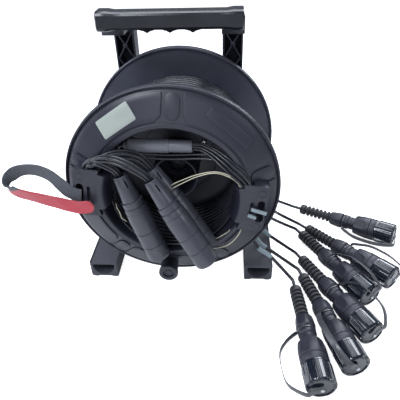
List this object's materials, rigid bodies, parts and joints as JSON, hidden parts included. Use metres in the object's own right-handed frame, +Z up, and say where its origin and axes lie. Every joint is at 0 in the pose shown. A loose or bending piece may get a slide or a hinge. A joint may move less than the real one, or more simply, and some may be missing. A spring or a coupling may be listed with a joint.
{
  "type": "fibre optic cable drum",
  "caption": "Fibre optic cable drum on a carrying stand, with the wound trunk cable, barrels stowed in its hub and capped outdoor plugs on fan-out tails.",
  "frame": {"origin": "middle of the sole of the stand's rear beam, on the floor under the drum's axis", "axes": "-Z out of the sole onto the floor; +Z up and the object's longest extent; -Y towards the front of the drum, whose axis is parallel to Y at x = 0"},
  "size_m": [0.625, 0.4241, 0.4225],
  "materials": {
    "moulded_black": "satin",
    "grip_gloss": "gloss",
    "satin_barrel": "satin",
    "cap_gloss": "gloss",
    "boot_rubber": "matte",
    "cable_jacket": "semi-gloss",
    "zinc_steel": "satin",
    "strap_fabric": "looped pile"
  },
  "bodies": {
    "stand": {"base_frame": "moulded_black", "left_upright": "moulded_black", "right_upright": "moulded_black", "bearing_plate": "moulded_black", "handle_grip": "grip_gloss", "drum_axle": "zinc_steel", "axle_nut": "zinc_steel", "tail_1": "cable_jacket", "plug_1_boot": "boot_rubber", "plug_1_body": "moulded_black", "plug_1_lanyard": "boot_rubber", "tail_2": "cable_jacket", "plug_2_boot": "boot_rubber", "plug_2_body": "moulded_black", "plug_2_lanyard": "boot_rubber", "tail_3": "cable_jacket", "plug_3_boot": "boot_rubber", "plug_3_body": "moulded_black", "plug_3_lanyard": "boot_rubber", "tail_4": "cable_jacket", "plug_4_boot": "boot_rubber", "plug_4_body": "moulded_black", "plug_4_lanyard": "boot_rubber", "tail_5": "cable_jacket", "plug_5_boot": "boot_rubber", "plug_5_body": "moulded_black", "plug_5_lanyard": "boot_rubber", "tail_6": "cable_jacket", "plug_6_boot": "boot_rubber", "plug_6_body": "moulded_black", "plug_6_lanyard": "boot_rubber"},
    "drum": {"front_flange": "moulded_black", "hub_floor": "moulded_black", "rear_flange": "moulded_black", "left_clamp_plate": "moulded_black", "right_clamp_plate": "moulded_black", "knob_pin": "moulded_black", "cable_winding": "cable_jacket", "trunk_splitter": "satin_barrel", "trunk_lead": "cable_jacket", "barrel_1": "satin_barrel", "barrel_2": "satin_barrel", "barrel_3": "satin_barrel", "closure_strap": "strap_fabric", "hub_coil": "cable_jacket", "fan_out_legs": "cable_jacket", "barrel_leads": "cable_jacket"},
    "knob": {"knob_grip": "moulded_black"},
    "shell_1": {"plug_1_shell": "moulded_black"},
    "cap_1": {"plug_1_cap": "cap_gloss"},
    "shell_2": {"plug_2_shell": "moulded_black"},
    "cap_2": {"plug_2_cap": "cap_gloss"},
    "shell_3": {"plug_3_shell": "moulded_black"},
    "cap_3": {"plug_3_cap": "cap_gloss"},
    "shell_4": {"plug_4_shell": "moulded_black"},
    "cap_4": {"plug_4_cap": "cap_gloss"},
    "shell_5": {"plug_5_shell": "moulded_black"},
    "cap_5": {"plug_5_cap": "cap_gloss"},
    "shell_6": {"plug_6_shell": "moulded_black"},
    "cap_6": {"plug_6_cap": "cap_gloss"}
  },
  "joints": [
    {"name": "drum_spin", "type": "hinge", "parent": "stand", "child": "drum", "pos_m": [0, -0.1, 0.1976], "axis": [0, 1, 0], "continuous": true},
    {"name": "knob_spin", "type": "hinge", "parent": "drum", "child": "knob", "pos_m": [-0.01001, -0.22, 0.06749], "axis": [0, 1, 0], "continuous": true},
    {"name": "shell_1_twist", "type": "hinge", "parent": "stand", "child": "shell_1", "pos_m": [0.3414, -0.04828, 0.0202], "axis": [0.8539, -0.5175, 0.0554], "range_deg": [0, 45]},
    {"name": "cap_1_twist", "type": "hinge", "parent": "shell_1", "child": "cap_1", "pos_m": [0.3414, -0.04828, 0.0202], "axis": [0.8539, -0.5175, 0.0554], "range_deg": [0, 75]},
    {"name": "shell_2_twist", "type": "hinge", "parent": "stand", "child": "shell_2", "pos_m": [0.31811, -0.14544, 0.02028], "axis": [0.6463, -0.7611, 0.056], "range_deg": [0, 45]},
    {"name": "cap_2_twist", "type": "hinge", "parent": "shell_2", "child": "cap_2", "pos_m": [0.31811, -0.14544, 0.02028], "axis": [0.6463, -0.7611, 0.056], "range_deg": [0, 75]},
    {"name": "shell_3_twist", "type": "hinge", "parent": "stand", "child": "shell_3", "pos_m": [0.28087, -0.17867, 0.02025], "axis": [0.4605, -0.8859, 0.0558], "range_deg": [0, 45]},
    {"name": "cap_3_twist", "type": "hinge", "parent": "shell_3", "child": "cap_3", "pos_m": [0.28087, -0.17867, 0.02025], "axis": [0.4605, -0.8859, 0.0558], "range_deg": [0, 75]},
    {"name": "shell_4_twist", "type": "hinge", "parent": "stand", "child": "shell_4", "pos_m": [0.26768, -0.24975, 0.02018], "axis": [0.4283, -0.9019, 0.0552], "range_deg": [0, 45]},
    {"name": "cap_4_twist", "type": "hinge", "parent": "shell_4", "child": "cap_4", "pos_m": [0.26768, -0.24975, 0.02018], "axis": [0.4283, -0.9019, 0.0552], "range_deg": [0, 75]},
    {"name": "shell_5_twist", "type": "hinge", "parent": "stand", "child": "shell_5", "pos_m": [0.2412, -0.3008, 0.0203], "axis": [0.2577, -0.9646, 0.0561], "range_deg": [0, 45]},
    {"name": "cap_5_twist", "type": "hinge", "parent": "shell_5", "child": "cap_5", "pos_m": [0.2412, -0.3008, 0.0203], "axis": [0.2577, -0.9646, 0.0561], "range_deg": [0, 75]},
    {"name": "shell_6_twist", "type": "hinge", "parent": "stand", "child": "shell_6", "pos_m": [0.2, -0.33194, 0.02009], "axis": [0.0638, -0.9965, 0.0546], "range_deg": [0, 45]},
    {"name": "cap_6_twist", "type": "hinge", "parent": "shell_6", "child": "cap_6", "pos_m": [0.2, -0.33194, 0.02009], "axis": [0.0638, -0.9965, 0.0546], "range_deg": [0, 75]}
  ]
}
